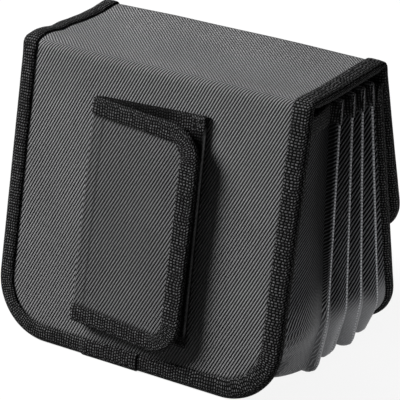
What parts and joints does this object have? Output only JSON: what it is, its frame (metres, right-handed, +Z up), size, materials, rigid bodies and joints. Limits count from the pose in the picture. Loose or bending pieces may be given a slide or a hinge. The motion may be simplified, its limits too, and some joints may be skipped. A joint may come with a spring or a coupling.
{
  "type": "lens filter case",
  "caption": "Accordion pouch that stands open for slot-in lens filters, with a folding lid and flap, taped edges and a wrap strap on its back.",
  "frame": {"origin": "middle of the footprint box, on the surface that the case stands on", "axes": "+X across the case to its right as seen from the strap side, +Y from the strapped back panel to the flap, +Z up"},
  "size_m": [0.178, 0.1386, 0.16],
  "materials": {
    "twill": "matte grey woven twill",
    "webbing": "matte black ribbed tape",
    "lining": "matte black woven lining",
    "stiffener": "matte closed-cell sheet",
    "hook": "matte black hook tape",
    "loop": "matte black loop pile"
  },
  "bodies": {
    "back": {"back_cover": "twill", "back_stiffener": "stiffener", "back_lining": "lining", "back_binding": "webbing", "strap_base": "twill", "strap_base_binding": "webbing", "strap_loop_patch": "loop"},
    "lid": {"top_cover": "twill", "top_stiffener": "stiffener", "top_lining": "lining", "top_binding_left": "webbing", "top_binding_right": "webbing", "rear_fold": "twill", "rear_fold_binding_left": "webbing", "rear_fold_binding_right": "webbing"},
    "flap": {"flap_cover": "twill", "flap_stiffener": "stiffener", "flap_lining": "lining", "flap_binding": "webbing", "flap_hook_patch": "hook", "front_fold": "twill", "front_fold_binding_left": "webbing", "front_fold_binding_right": "webbing"},
    "strap_leaf": {"strap_leaf": "twill", "strap_leaf_binding": "webbing", "strap_hook_patch": "hook", "strap_fold": "twill", "strap_fold_binding_top": "webbing", "strap_fold_binding_bottom": "webbing"},
    "divider_1": {"divider_1": "lining", "divider_1_binding": "webbing", "gusset_1": "twill"},
    "divider_2": {"divider_2": "lining", "divider_2_binding": "webbing", "gusset_2": "twill"},
    "divider_3": {"divider_3": "lining", "divider_3_binding": "webbing", "gusset_3": "twill"},
    "divider_4": {"divider_4": "lining", "divider_4_binding": "webbing", "gusset_4": "twill"},
    "front": {"front_cover": "twill", "front_stiffener": "stiffener", "front_lining": "lining", "front_binding": "webbing", "front_top_binding": "webbing", "front_loop_patch": "loop", "gusset_5": "twill"}
  },
  "joints": [
    {"name": "lid_lift", "type": "hinge", "parent": "back", "child": "lid", "pos_m": [0, -0.03576, 0.15683], "axis": [1, 0, 0], "range_deg": [0, 165], "deforming": ["rear_fold", "rear_fold_binding_left", "rear_fold_binding_right"]},
    {"name": "flap_fold", "type": "hinge", "parent": "lid", "child": "flap", "pos_m": [0, 0.03681, 0.15699], "axis": [1, 0, 0], "range_deg": [0, 150], "deforming": ["front_fold", "front_fold_binding_left", "front_fold_binding_right"]},
    {"name": "strap_open", "type": "hinge", "parent": "back", "child": "strap_leaf", "pos_m": [-0.0335, -0.04152, 0.16054], "axis": [0, -0.1728, -0.985], "range_deg": [0, 165], "deforming": ["strap_fold", "strap_fold_binding_top", "strap_fold_binding_bottom"]},
    {"name": "bellows_squeeze", "type": "slide", "parent": "back", "child": "divider_1", "axis": [0, 1, 0], "range_m": [-0.022, 0], "deforming": ["gusset_1"]},
    {"name": "bellows_pleat_2", "type": "slide", "parent": "divider_1", "child": "divider_2", "axis": [0, 1, 0], "range_m": [-0.00704, 0], "deforming": ["gusset_2"]},
    {"name": "bellows_pleat_3", "type": "slide", "parent": "divider_2", "child": "divider_3", "axis": [0, 1, 0], "range_m": [-0.00594, 0], "deforming": ["gusset_3"]},
    {"name": "bellows_pleat_4", "type": "slide", "parent": "divider_3", "child": "divider_4", "axis": [0, 1, 0], "range_m": [-0.00506, 0], "deforming": ["gusset_4"]},
    {"name": "bellows_pleat_5", "type": "slide", "parent": "divider_4", "child": "front", "axis": [0, 1, 0], "range_m": [-0.00352, 0], "deforming": ["gusset_5"]}
  ],
  "couplings": [
    {"joint": "bellows_pleat_2", "follows": "bellows_squeeze", "ratio": 0.32},
    {"joint": "bellows_pleat_3", "follows": "bellows_squeeze", "ratio": 0.27},
    {"joint": "bellows_pleat_4", "follows": "bellows_squeeze", "ratio": 0.23},
    {"joint": "bellows_pleat_5", "follows": "bellows_squeeze", "ratio": 0.16}
  ]
}
